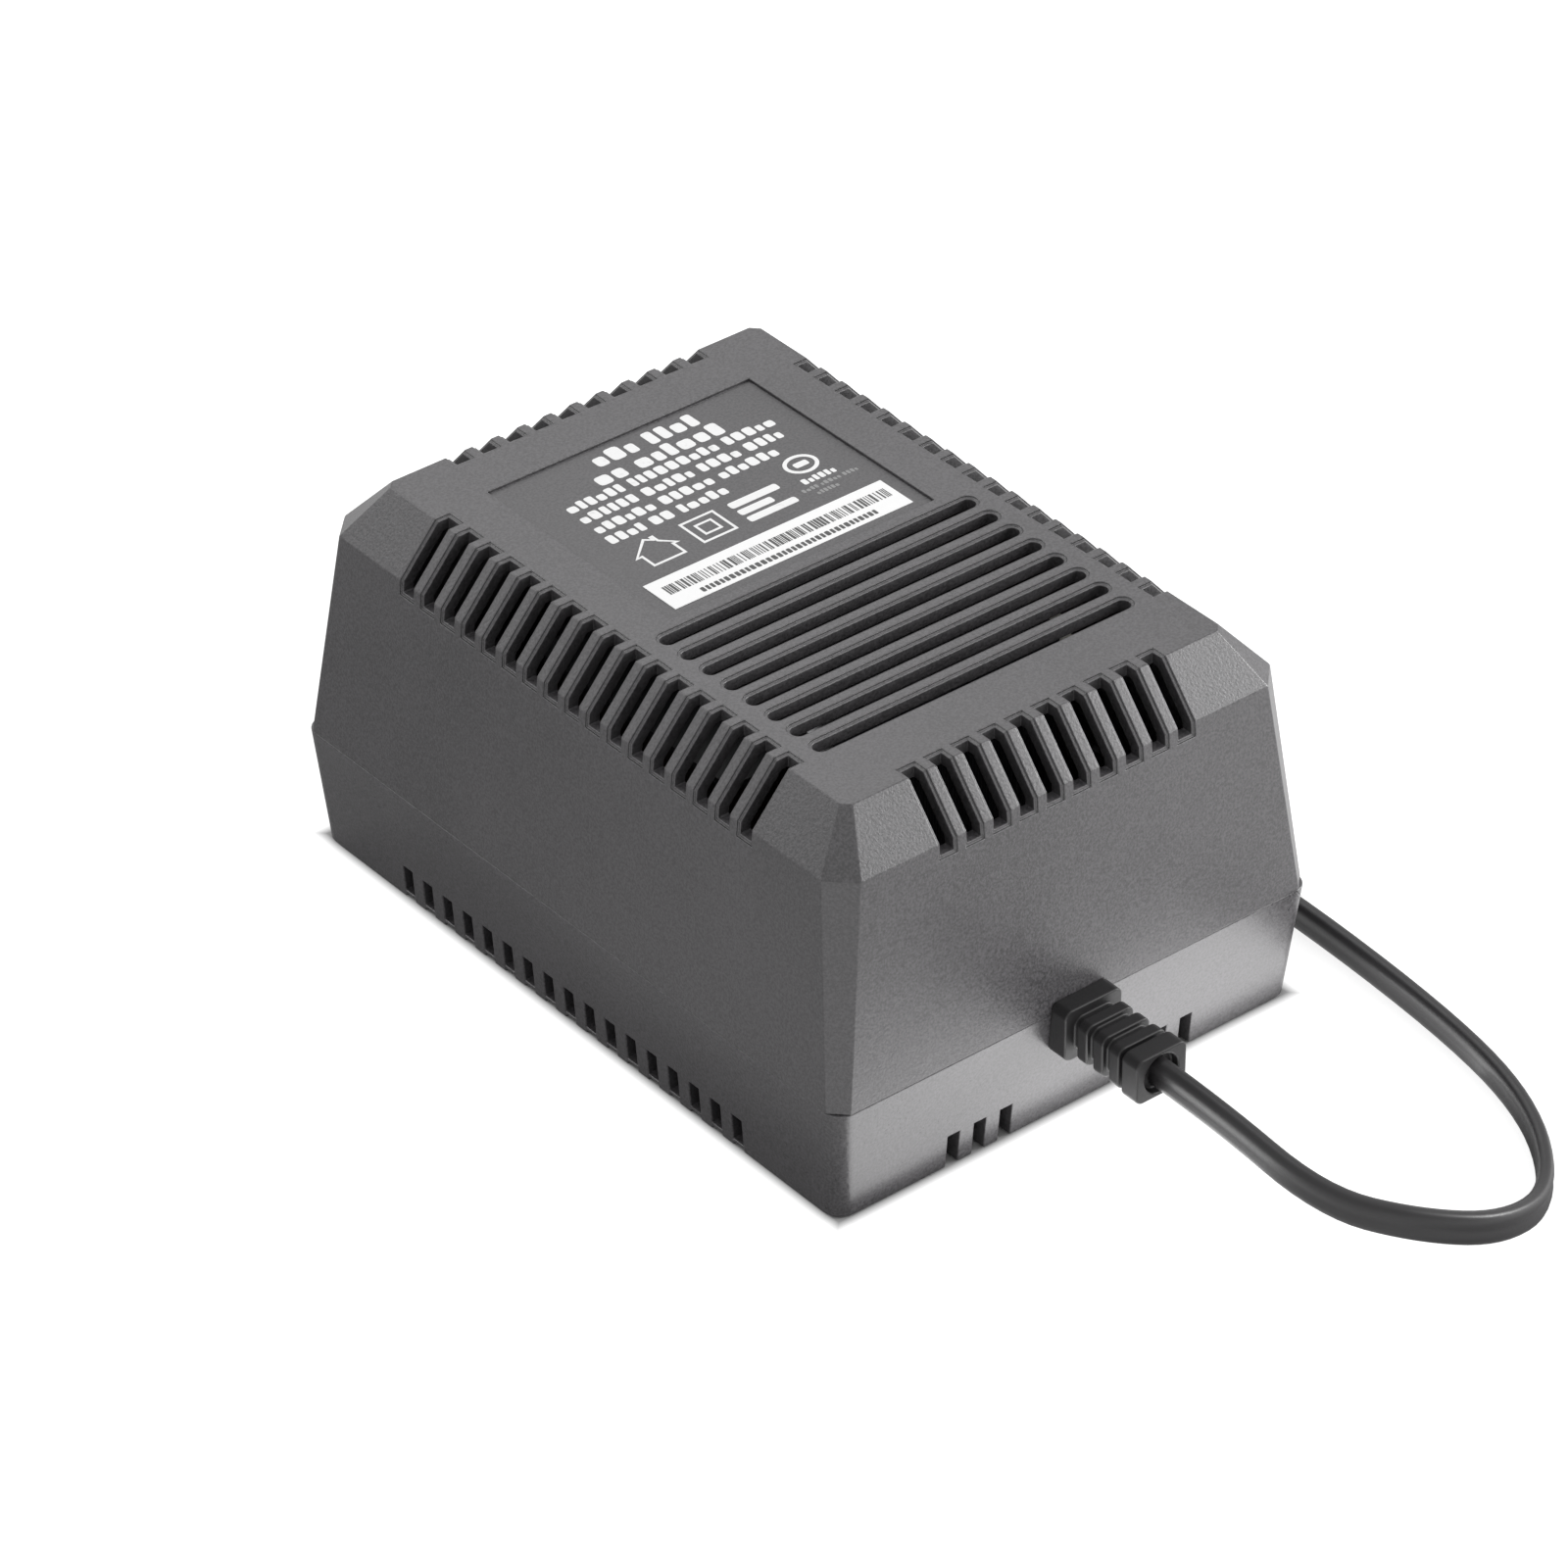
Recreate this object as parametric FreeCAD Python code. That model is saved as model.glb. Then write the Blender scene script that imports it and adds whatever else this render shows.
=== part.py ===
import FreeCAD, Part

import math
import os

Vector = FreeCAD.Vector

# Desktop mains transformer in a two-shell vented case, with its output lead.
# +Y is the rear end, -Y the end that the output lead leaves, +X the right side, +Z up.
# The origin is the middle of the footprint, on the surface that the case stands on.
# All lengths are in millimetres.

# Case, measured at the seam between its two shells
case_length = 120.0
case_width = 85.0
case_height = 60.5
seam_height = 18.8
wall = 2.2
floor_wall = 2.2

# Slopes and corners of the two shells
foot_inset_end = 1.8
foot_inset_side = 1.5
shoulder_inset_end = 3.2
shoulder_inset_side = 3.0
chamfer_run = 6.4
chamfer_drop = 7.4
seam_corner_cut = 2.4
shoulder_corner_cut = 3.75
top_corner_cut = 1.2
base_corner_radius = 3.0

# Tongue of the base that stands inside the upper shell
tongue_height = 1.5
tongue_root = 2.5
tongue_thickness = 1.1
tongue_clearance = 0.1
tongue_corner_radius = 2.6

# Vent slots of the upper shell
slot_pitch = 4.65
slot_width = 2.3
side_slot_count = 17
end_slot_count = 10
slot_reach_on_top = 2.0
slot_reach_on_wall = 1.9
top_slot_count = 8
top_slot_side_gap = 3.45
slot_rim_width = 0.45
slot_rim_depth = 0.3

# Vent slots of the base
base_slot_width = 2.1
base_slot_height = 5.5
base_slot_under = 3.0
side_slot_sill = 1.1
notch_height = 0.55
notch_reach = 1.0
base_end_slots_skipped = 2
base_end_slots_per_side = 3

# Label recess in the top, and the two labels in it
label_length = 41.0
label_side_margin = 9.75
label_centre = 19.3
recess_depth = 0.6
label_gap = 0.15
label_thickness = 0.15
sticker_length = 7.2
sticker_side_margin = 2.3
sticker_offset = 1.8
sticker_thickness = 0.1

# Screws that hold the shells together, driven from below
boss_inset_end = 9.0
boss_inset_side = 8.5
upper_boss_radius = 3.8
base_boss_radius = 4.4
screw_radius = 1.5
screw_bite = 10.0
screw_head_radius = 2.9
screw_head_height = 2.2
screw_seat_height = 12.0
screw_clearance = 0.2

# Laminated core, an E that stands on its back and an I across its legs; it is 6 legs long, fills
# the case's height, and its stack fills the width that the bobbin's pins leave
core_leg = 11.0
core_lift = 0.5
core_headroom = 0.6
core_clearance = 0.3
hold_down_width = 1.6
hold_down_length = 28.0
hold_down_gap = 0.1
hold_down_slots_out = 6.5
pin_to_side = 4.9

# Cradle ribs of the base
cradle_rib = 2.0
cradle_height = 11.5
cradle_end_length = 28.0
cradle_side_from = 12.0
cradle_side_to = 21.5

# Bolts through the stack
bolt_radius = 2.0
bolt_clearance = 0.25
bolt_head_radius = 3.5
bolt_head_height = 2.6
bolt_end = 1.5
nut_across_flats = 7.0
nut_height = 3.2
washer_radius = 4.4
washer_thickness = 0.8

# Bobbin with two winding chambers, one above the other
bobbin_gap = 0.3
bobbin_wall = 1.0
bobbin_flange = 1.2
winding_to_core = 1.0
winding_corner_radius = 6.0
tape_thickness = 0.4
flange_margin = 0.2
rail_reach = 4.0
rail_height = 3.0
rail_length = 24.0
pin_side = 1.0
pin_length = 4.0
pin_root = 2.5
pin_spacing = 8.0
pins_per_side = 3

# Thermal fuse on the primary
fuse_radius = 1.8
fuse_length = 11.0
fuse_lead_radius = 0.4
fuse_lead_length = 4.0

# Hook-up leads and their crimp caps
primary_lead_radius = 0.8
secondary_lead_radius = 1.1
lead_bend_radius = 5.0
cap_radius = 2.5
cap_tip_radius = 1.7
cap_length = 12.0
cap_mouth_depth = 4.0

# Output lead where it leaves the case
lead_height = 16.4
relief_flange_width = 10.2
relief_flange_height = 8.4
relief_flange_thickness = 3.0
relief_neck_width = 6.8
relief_neck_height = 5.2
relief_rib_width = 8.5
relief_rib_height = 6.8
relief_rib_thickness = 2.0
relief_rib_pitch = 3.25
relief_first_rib = 4.4
relief_rib_count = 3
relief_end_width = 8.9
relief_end_height = 7.3
relief_end_thickness = 3.2
relief_length = 16.9
relief_corner_radius = 1.3
relief_recess_depth = 1.4
relief_recess_gap = 0.5
trap_clearance = 0.1
trap_setback = 0.7
trap_flange_thickness = 2.0

# Gland for the mains lead, at the rear
gland_bore_radius = 3.2
gland_neck_radius = 4.8
gland_flange_radius = 6.8
gland_flange_thickness = 2.5
gland_sleeve_length = 6.0
gland_sleeve_tip_radius = 4.4

# Output lead, a flat twin cord; its width is the diameter of its plain tube
cord_width = 5.0
lead_beside_case = 9.0
lead_wander = 1.0
lead_straight = 32.0
lead_droop = 2.4
lead_swing = 13.0
lead_run_in = 9.1
tail_leaves = 18
tail_straight = 11
tail_sway = 2.5
tail_drop_from = 16.5
tail_lands = 6.5
hank_turns_across = 4
hank_turn_pitch = 3.0
hank_layer_height = 5.2
hank_layers = 2
hank_inner_radius = 8.5
hank_run = 37.0
hank_inside_of_side = 8.5
hank_behind_case = 23.5
tie_width = 4.0
tie_thickness = 0.9

# Plug on the end of the lead
plug_radius = 5.25
plug_body_length = 19.0
plug_boot_length = 9.0
plug_boot_radius = 3.4
plug_boot_grooves = 3
plug_boot_taper = 1.0
plug_groove_width = 1.2
plug_groove_depth = 0.5
plug_nose_chamfer = 0.7
plug_neck_length = 2.5
plug_sleeve_radius = 2.75
plug_sleeve_wall = 0.3
plug_sleeve_length = 9.5
plug_contact_radius = 1.35
plug_contact_bore = 1.05
plug_contact_length = 8.5
plug_root = 3.0
plug_beside_case = 31.5
plug_ahead_of_rear = 18.0

# Worked out from the sizes above
half_length = case_length / 2
half_width = case_width / 2
shoulder_height = case_height - chamfer_drop
ceiling_height = case_height - wall
top_half_length = half_length - shoulder_inset_end - chamfer_run
top_half_width = half_width - shoulder_inset_side - chamfer_run
boss_x = half_width - boss_inset_side
boss_y = half_length - boss_inset_end
label_width = 2 * (top_half_width - label_side_margin)
sticker_width = label_width - 2 * sticker_side_margin
top_slot_length = 2 * (top_half_width - slot_reach_on_top - top_slot_side_gap)
core_bottom = floor_wall + core_lift
core_top = ceiling_height - core_headroom
window_bottom = core_bottom + core_leg
window_top = core_top - core_leg
half_span = 3 * core_leg
winding_depth = core_leg - bobbin_gap - bobbin_wall - winding_to_core
bobbin_beside_stack = (bobbin_gap + bobbin_wall + winding_depth + tape_thickness + flange_margin
                       + rail_reach + pin_length)
half_stack = half_width - pin_to_side - bobbin_beside_stack
core_stack = 2 * half_stack
bolt_y = half_span - core_leg / 2
bolt_heights = (core_bottom + core_leg / 2, core_top - core_leg / 2)
relief_tip_y = -half_length - relief_length
cord_radius = cord_width / 2
hank_centre_x = half_width - hank_inside_of_side
hank_centre_y = half_length + hank_behind_case
plug_x = half_width + plug_beside_case
plug_rear_y = half_length - plug_ahead_of_rear


def octagon(half_l, half_w, cut, z):
    """Corner points of a rectangle with its corners cut off, at one height."""
    return [
        Vector(half_w, -half_l + cut, z),
        Vector(half_w, half_l - cut, z),
        Vector(half_w - cut, half_l, z),
        Vector(-half_w + cut, half_l, z),
        Vector(-half_w, half_l - cut, z),
        Vector(-half_w, -half_l + cut, z),
        Vector(-half_w + cut, -half_l, z),
        Vector(half_w - cut, -half_l, z),
    ]


def face_of(points):
    return Part.Face(Part.makePolygon(points + [points[0]]))


def faceted_body(rings):
    """Solid with flat sides through a stack of point rings, from the lowest to the highest."""
    faces = [face_of(rings[0][::-1]), face_of(rings[-1])]
    for lower, upper in zip(rings, rings[1:]):
        for i in range(len(lower)):
            j = (i + 1) % len(lower)
            faces.append(face_of([lower[i], lower[j], upper[j], upper[i]]))
    return Part.Solid(Part.Shell(faces))


def box(x0, x1, y0, y1, z0, z1):
    return Part.makeBox(x1 - x0, y1 - y0, z1 - z0, Vector(x0, y0, z0))


def cylinder(radius, start, direction, length):
    return Part.makeCylinder(radius, length, start, direction)


def rounded_block(half_x, half_y, z0, z1, radius):
    """Upright block about the Z axis with rounded upright edges."""
    block = box(-half_x, half_x, -half_y, half_y, z0, z1)
    upright = [edge for edge in block.Edges if abs(edge.tangentAt(edge.FirstParameter).z) > 0.99]
    return block.makeFillet(radius, upright)


def end_block(width, height, radius, y0, y1, z_centre):
    """Block lying along Y with its four long edges rounded."""
    block = box(-width / 2, width / 2, y0, y1, z_centre - height / 2, z_centre + height / 2)
    lengthwise = [edge for edge in block.Edges if abs(edge.tangentAt(edge.FirstParameter).y) > 0.99]
    return block.makeFillet(radius, lengthwise)


def stadium(length, width, centre, z0, z1):
    """Slot-shaped prism with round ends, lying along X."""
    radius = width / 2
    run = length / 2 - radius
    prism = box(centre.x - run, centre.x + run, centre.y - radius, centre.y + radius, z0, z1)
    ends = []
    for side in (-1, 1):
        foot = Vector(centre.x + side * run, centre.y, z0)
        ends.append(cylinder(radius, foot, Vector(0, 0, 1), z1 - z0))
    return prism.fuse(ends).removeSplitter()


def evenly(count, pitch):
    """Places on both sides of zero, one pitch apart."""
    return [(i - (count - 1) / 2) * pitch for i in range(count)]


def rounded_path(points, largest=math.inf):
    """Straight runs joined by arcs as large as the runs and a limit allow, with the arcs' radii."""
    edges = []
    radii = []
    here = points[0]
    for before, corner, after in zip(points, points[1:], points[2:]):
        inward = corner - before
        outward = after - corner
        shorter = min(inward.Length, outward.Length)
        inward.normalize()
        outward.normalize()
        turn = inward.getAngle(outward)
        radius = min(0.45 * shorter / math.tan(turn / 2), largest)
        start = corner - inward * radius * math.tan(turn / 2)
        end = corner + outward * radius * math.tan(turn / 2)
        towards = (outward - inward).normalize()
        middle = corner + towards * (radius / math.cos(turn / 2) - radius)
        edges.append(Part.LineSegment(here, start).toShape())
        edges.append(Part.Arc(start, middle, end).toShape())
        radii.append(radius)
        here = end
    edges.append(Part.LineSegment(here, points[-1]).toShape())
    return Part.Wire(edges), radii


def tube(points, radius, largest_bend=math.inf):
    """Round wire along a rounded path."""
    path, radii = rounded_path(points, largest_bend)
    start = Part.Wire(Part.makeCircle(radius, points[0], points[1] - points[0]))
    solid = path.makePipeShell([start], True, False)
    return solid, path, radii


def turned(profile, centre):
    """Solid of revolution about a line along Y, from radius and distance behind the centre."""
    points = [Vector(centre.x + r, centre.y + y, centre.z) for r, y in profile]
    return face_of(points).revolve(centre, Vector(0, 1, 0), 360)


def shell_rings(depth):
    """Rings of the upper shell's outer form, moved inwards by a depth."""
    side = Vector(seam_rise, 0, shoulder_inset_side).normalize()
    slope = Vector(chamfer_drop, 0, chamfer_run).normalize()
    flat = Vector(0, 0, 1)
    at_shoulder = (side + slope) * (depth / (1 + side.dot(slope)))
    at_top = (slope + flat) * (depth / (1 + slope.dot(flat)))
    corner_loss = depth * (2 - math.sqrt(2))
    seam_depth = depth / side.x
    return [
        octagon(half_length - seam_depth, half_width - seam_depth,
                max(seam_corner_cut - corner_loss, 0.2), seam_height),
        octagon(half_length - shoulder_inset_end - at_shoulder.x,
                half_width - shoulder_inset_side - at_shoulder.x,
                max(shoulder_corner_cut - corner_loss, 0.2), shoulder_height - at_shoulder.z),
        octagon(top_half_length - at_top.x, top_half_width - at_top.x,
                max(top_corner_cut - corner_loss, 0.2), case_height - at_top.z),
    ]


def base_block(depth, bottom):
    """The base's outer form, moved inwards by a depth and cut off at a bottom height."""
    def corners(share):
        half_l = half_length - foot_inset_end * share - depth
        half_w = half_width - foot_inset_side * share - depth
        return half_l, half_w
    foot_l, foot_w = corners((seam_height - bottom) / seam_height)
    rim_l, rim_w = corners(0)
    foot = [Vector(x * foot_w, y * foot_l, bottom) for x, y in ((1, -1), (1, 1), (-1, 1), (-1, -1))]
    rim = [Vector(x * rim_w, y * rim_l, seam_height) for x, y in ((1, -1), (1, 1), (-1, 1), (-1, -1))]
    block = faceted_body([foot, rim])
    upright = [edge for edge in block.Edges
               if abs(edge.Vertexes[0].Z - edge.Vertexes[1].Z) > 0.5 * (seam_height - bottom)]
    return block.makeFillet(max(base_corner_radius - depth, 0.8), upright)


def seam_band(outer_depth, inner_depth, z0, z1):
    """Band that follows the seam, between two depths from the outside."""
    def block(depth):
        return rounded_block(half_width - depth, half_length - depth, z0, z1, tongue_corner_radius)
    return block(outer_depth).cut(block(inner_depth))


def side_slot_boxes(grow):
    """Cutters for the slots that wrap from the top over the long sides' shoulders."""
    inner = top_half_width - slot_reach_on_top - grow
    low = shoulder_height - slot_reach_on_wall - grow
    high = case_height + 1
    half = slot_width / 2 + grow
    boxes = []
    for y in evenly(side_slot_count, slot_pitch):
        boxes.append(box(inner, half_width + 1, y - half, y + half, low, high))
        boxes.append(box(-half_width - 1, -inner, y - half, y + half, low, high))
    return boxes


def end_slot_boxes(grow):
    """Cutters for the slots that wrap from the top over the short ends' shoulders."""
    inner = top_half_length - slot_reach_on_top - grow
    low = shoulder_height - slot_reach_on_wall - grow
    high = case_height + 1
    half = slot_width / 2 + grow
    boxes = []
    for x in evenly(end_slot_count, slot_pitch):
        boxes.append(box(x - half, x + half, inner, half_length + 1, low, high))
        boxes.append(box(x - half, x + half, -half_length - 1, -inner, low, high))
    return boxes


def top_slots(grow, bottom):
    """Cutters for the long slots across the front half of the top."""
    cutters = []
    for i in range(top_slot_count):
        centre = Vector(0, -(i + 1) * slot_pitch, 0)
        cutters.append(stadium(top_slot_length + 2 * grow, slot_width + 2 * grow,
                               centre, bottom, case_height + 1))
    return cutters


def relief_passage():
    """Hole in the front walls that the strain relief is trapped in."""
    return end_block(relief_neck_width + 2 * trap_clearance, relief_neck_height + 2 * trap_clearance,
                     relief_corner_radius, -half_length - 1, -trap_inner_y, lead_height)


def gland_passage():
    """Hole in the rear walls that the gland is trapped in."""
    start = Vector(0, trap_inner_y, lead_height)
    return cylinder(gland_neck_radius + trap_clearance, start, Vector(0, 1, 0), half_length)


def boss_places():
    return [(sx * boss_x, sy * boss_y) for sx in (-1, 1) for sy in (-1, 1)]


seam_rise = shoulder_height - seam_height
tongue_lean = tongue_height * max(shoulder_inset_side, shoulder_inset_end) / seam_rise
trap_inner_y = half_length - wall - tongue_clearance - tongue_thickness - trap_setback


def upper_housing():
    outer = faceted_body(shell_rings(0))
    cavity = faceted_body(shell_rings(wall))
    below = box(-half_width, half_width, -half_length, half_length, 0, seam_height)
    shell = outer.cut(cavity)

    bosses = []
    for x, y in boss_places():
        column = cylinder(upper_boss_radius, Vector(x, y, seam_height), Vector(0, 0, 1), case_height)
        bosses.append(column.common(cavity))
    for side in (-1, 1):
        y = side * slot_pitch * hold_down_slots_out
        half = hold_down_width / 2
        rib = box(-hold_down_length / 2, hold_down_length / 2, y - half, y + half,
                  core_top + hold_down_gap, case_height - wall / 2)
        bosses.append(rib)
    shell = shell.fuse(bosses)

    pilots = []
    for x, y in boss_places():
        pilots.append(cylinder(screw_radius, Vector(x, y, 0), Vector(0, 0, 1),
                               seam_height + screw_bite + screw_clearance))
    shell = shell.cut(pilots)

    skin = outer.cut(faceted_body(shell_rings(slot_rim_depth)))
    rims = Part.makeCompound(side_slot_boxes(slot_rim_width) + end_slot_boxes(slot_rim_width))
    shell = shell.cut(side_slot_boxes(0) + end_slot_boxes(0))
    shell = shell.cut(rims.common(skin))
    shell = shell.cut(top_slots(0, ceiling_height - 1))
    shell = shell.cut(top_slots(slot_rim_width, case_height - slot_rim_depth))

    recess = box(-label_width / 2, label_width / 2,
                 label_centre - label_length / 2, label_centre + label_length / 2,
                 case_height - recess_depth, case_height + 1)
    shell = shell.cut([recess, relief_passage(), gland_passage(), below])
    return shell.removeSplitter()


def base_housing():
    shell = base_block(0, 0).cut(base_block(wall, floor_wall))
    tongue_outer = wall + tongue_lean + tongue_clearance
    tongue_inner = tongue_outer + tongue_thickness
    tongue = seam_band(tongue_outer, tongue_inner, seam_height - tongue_root, seam_height + tongue_height)
    root = seam_band(wall / 2, tongue_inner, seam_height - tongue_root, seam_height - 0.001)
    shell = shell.fuse([tongue, root])

    adds = []
    for x, y in boss_places():
        column = cylinder(base_boss_radius, Vector(x, y, 0), Vector(0, 0, 1), seam_height)
        adds.append(column.common(base_block(0, 0)))
    cradle_top = floor_wall + cradle_height - 2
    end_from = half_span + core_clearance
    side_from = half_stack + core_clearance
    for side in (-1, 1):
        low, high = sorted((side * end_from, side * (end_from + cradle_rib)))
        adds.append(box(-cradle_end_length / 2, cradle_end_length / 2, low, high,
                        floor_wall / 2, cradle_top))
        low, high = sorted((side * side_from, side * (side_from + cradle_rib)))
        for way in (-1, 1):
            near, far = sorted((way * cradle_side_from, way * cradle_side_to))
            adds.append(box(low, high, near, far, floor_wall / 2, cradle_top))
            pad_near, pad_far = sorted((way * (half_span - core_leg), way * half_span))
            pad_low, pad_high = sorted((side * half_stack / 2, side * half_stack))
            adds.append(box(pad_low, pad_high, pad_near, pad_far, floor_wall / 2, core_bottom))
    shell = shell.fuse(adds)

    cuts = []
    for x, y in boss_places():
        hole = cylinder(screw_radius + screw_clearance, Vector(x, y, -1), Vector(0, 0, 1), seam_height + 2)
        recess = cylinder(screw_head_radius + screw_clearance, Vector(x, y, -1), Vector(0, 0, 1),
                          screw_seat_height + 1)
        rim_clear = cylinder(upper_boss_radius + screw_clearance, Vector(x, y, seam_height),
                             Vector(0, 0, 1), tongue_height + 1)
        cuts += [hole, recess, rim_clear]
    half = base_slot_width / 2
    inner_x = half_width - foot_inset_side - base_slot_under
    inner_y = half_length - foot_inset_end - base_slot_under
    notch_x = half_width - foot_inset_side - notch_reach
    for y in evenly(side_slot_count, slot_pitch):
        for side in (-1, 1):
            low, high = sorted((side * inner_x, side * (half_width + 1)))
            cuts.append(box(low, high, y - half, y + half, side_slot_sill, base_slot_height))
            low, high = sorted((side * notch_x, side * (half_width + 1)))
            cuts.append(box(low, high, y - half, y + half, -1, notch_height))
    for i in range(base_end_slots_per_side):
        offset = (base_end_slots_skipped + i + 0.5) * slot_pitch
        for x in (-offset, offset):
            for low, high in ((inner_y, half_length + 1), (-half_length - 1, -inner_y)):
                cuts.append(box(x - half, x + half, low, high, -1, base_slot_height))
    cuts += [relief_passage(), gland_passage()]
    return shell.cut(cuts).removeSplitter()


def housing_screws():
    screws = []
    for x, y in boss_places():
        head = cylinder(screw_head_radius, Vector(x, y, screw_seat_height - screw_head_height),
                        Vector(0, 0, 1), screw_head_height)
        shank = cylinder(screw_radius, Vector(x, y, screw_seat_height), Vector(0, 0, 1),
                         seam_height + screw_bite - screw_seat_height)
        screws.append(head.fuse(shank))
    return Part.makeCompound(screws)


def bolt_line(radius):
    """Round bars along X through the four corners of the core."""
    bars = []
    for y in (-bolt_y, bolt_y):
        for z in bolt_heights:
            bars.append(cylinder(radius, Vector(-half_stack - 1, y, z), Vector(1, 0, 0), core_stack + 2))
    return bars


def core_e_laminations():
    block = box(-half_stack, half_stack, -half_span, half_span, core_bottom, window_top)
    windows = []
    for side in (-1, 1):
        low, high = sorted((side * core_leg, side * (half_span - core_leg)))
        windows.append(box(-half_stack - 1, half_stack + 1, low, high, window_bottom, window_top + 1))
    return block.cut(windows + bolt_line(bolt_radius + bolt_clearance))


def core_i_laminations():
    block = box(-half_stack, half_stack, -half_span, half_span, window_top, core_top)
    return block.cut(bolt_line(bolt_radius + bolt_clearance))


def core_bolts():
    bolts = []
    length = core_stack + washer_thickness + nut_height + bolt_end
    for y in (-bolt_y, bolt_y):
        for z in bolt_heights:
            shank = cylinder(bolt_radius, Vector(-half_stack, y, z), Vector(1, 0, 0), length)
            head = cylinder(bolt_head_radius, Vector(-half_stack - bolt_head_height, y, z),
                            Vector(1, 0, 0), bolt_head_height)
            bolts.append(head.fuse(shank))
    return Part.makeCompound(bolts)


def core_nuts():
    nuts = []
    corner = nut_across_flats / math.sqrt(3)
    x = half_stack + washer_thickness
    for y in (-bolt_y, bolt_y):
        for z in bolt_heights:
            ring = []
            for i in range(6):
                turn = math.radians(60 * i)
                ring.append(Vector(x, y + corner * math.cos(turn), z + corner * math.sin(turn)))
            nut = face_of(ring).extrude(Vector(nut_height, 0, 0))
            nuts.append(nut.cut(cylinder(bolt_radius, Vector(x, y, z), Vector(1, 0, 0), nut_height)))
    return Part.makeCompound(nuts)


def core_washers():
    washers = []
    for y in (-bolt_y, bolt_y):
        for z in bolt_heights:
            start = Vector(half_stack, y, z)
            disc = cylinder(washer_radius, start, Vector(1, 0, 0), washer_thickness)
            hole = cylinder(bolt_radius + bolt_clearance, start, Vector(1, 0, 0), washer_thickness)
            washers.append(disc.cut(hole))
    return Part.makeCompound(washers)


# The winding space: the bobbin's tube round the centre leg, and what is wound on it
tube_half_x = half_stack + bobbin_gap + bobbin_wall
tube_half_y = core_leg + bobbin_gap + bobbin_wall
wound_half_x = tube_half_x + winding_depth
wound_half_y = tube_half_y + winding_depth
flange_half_x = wound_half_x + tape_thickness + flange_margin
flange_half_y = wound_half_y + tape_thickness + flange_margin
bobbin_bottom = window_bottom + flange_margin
bobbin_top = window_top - flange_margin
chamber_height = (bobbin_top - bobbin_bottom - 3 * bobbin_flange) / 2
chamber_floors = (bobbin_bottom + bobbin_flange, bobbin_bottom + 2 * bobbin_flange + chamber_height)
rail_tip_x = flange_half_x + rail_reach
pin_height = bobbin_bottom + bobbin_flange - rail_height / 2


def bobbin():
    body = box(-tube_half_x, tube_half_x, -tube_half_y, tube_half_y, bobbin_bottom, bobbin_top)
    adds = []
    for z in (bobbin_bottom, chamber_floors[0] + chamber_height, bobbin_top - bobbin_flange):
        adds.append(rounded_block(flange_half_x, flange_half_y, z, z + bobbin_flange,
                                  winding_corner_radius / 2))
    for side in (-1, 1):
        low, high = sorted((side * (flange_half_x - 1), side * rail_tip_x))
        adds.append(box(low, high, -rail_length / 2, rail_length / 2,
                        bobbin_bottom + bobbin_flange - rail_height, bobbin_bottom + bobbin_flange))
    hole = box(-half_stack - bobbin_gap, half_stack + bobbin_gap,
               -core_leg - bobbin_gap, core_leg + bobbin_gap, bobbin_bottom - 1, bobbin_top + 1)
    return body.fuse(adds).cut([hole] + pin_bars()).removeSplitter()


def pin_bars():
    """Square terminal pins, each from its root inside the rail to its free end."""
    half = pin_side / 2
    bars = []
    for side in (-1, 1):
        low, high = sorted((side * (rail_tip_x - pin_root), side * (rail_tip_x + pin_length)))
        for y in evenly(pins_per_side, pin_spacing):
            bars.append(box(low, high, y - half, y + half, pin_height - half, pin_height + half))
    return bars


def terminal_pins():
    return Part.makeCompound(pin_bars())


def winding(level):
    z0 = chamber_floors[level]
    z1 = z0 + chamber_height
    outer = rounded_block(wound_half_x, wound_half_y, z0, z1, winding_corner_radius)
    return outer.cut(box(-tube_half_x, tube_half_x, -tube_half_y, tube_half_y, z0, z1))


def winding_tape(level):
    z0 = chamber_floors[level]
    z1 = z0 + chamber_height
    outer = rounded_block(wound_half_x + tape_thickness, wound_half_y + tape_thickness, z0, z1,
                          winding_corner_radius + tape_thickness)
    return outer.cut(rounded_block(wound_half_x, wound_half_y, z0, z1, winding_corner_radius))


def thermal_fuse():
    x = wound_half_x + tape_thickness + fuse_radius
    z = chamber_floors[0] + chamber_height / 2
    can = cylinder(fuse_radius, Vector(x, -fuse_length / 2, z), Vector(0, 1, 0), fuse_length)
    leads = cylinder(fuse_lead_radius, Vector(x, -fuse_length / 2 - fuse_lead_length, z),
                     Vector(0, 1, 0), fuse_length + 2 * fuse_lead_length)
    return can.fuse(leads)


# Where the crimp caps lie, behind the core, and how close the leads pass to the bosses
lead_to_boss = 1.4
secondary_lead_pitch = 5.2
cap_mouth_x = 17.0
cap_row_pitch = 5.6
lead_row = boss_y - base_boss_radius - lead_to_boss
cap_rows = (lead_row, lead_row - cap_row_pitch)
primary_lead_height = pin_height + pin_side / 2 + primary_lead_radius
secondary_lead_height = pin_height + pin_side / 2 + secondary_lead_radius
secondary_turns_in_y = (-lead_row, secondary_lead_pitch - lead_row)


def primary_leads():
    """Two insulated leads that lie on their pins and turn in behind the core."""
    z = primary_lead_height
    outer_x = rail_tip_x + pin_length - primary_lead_radius
    inner_x = rail_tip_x + primary_lead_radius
    end_x = cap_mouth_x - cap_mouth_depth
    leads = []
    for x, y_start, y_row in ((outer_x, pin_spacing, cap_rows[0]), (inner_x, -pin_spacing, cap_rows[1])):
        route = [Vector(x, y_start - 1, z), Vector(x, y_row, z), Vector(end_x, y_row, z)]
        leads.append(tube(route, primary_lead_radius, lead_bend_radius)[0])
    return Part.makeCompound(leads)


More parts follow.
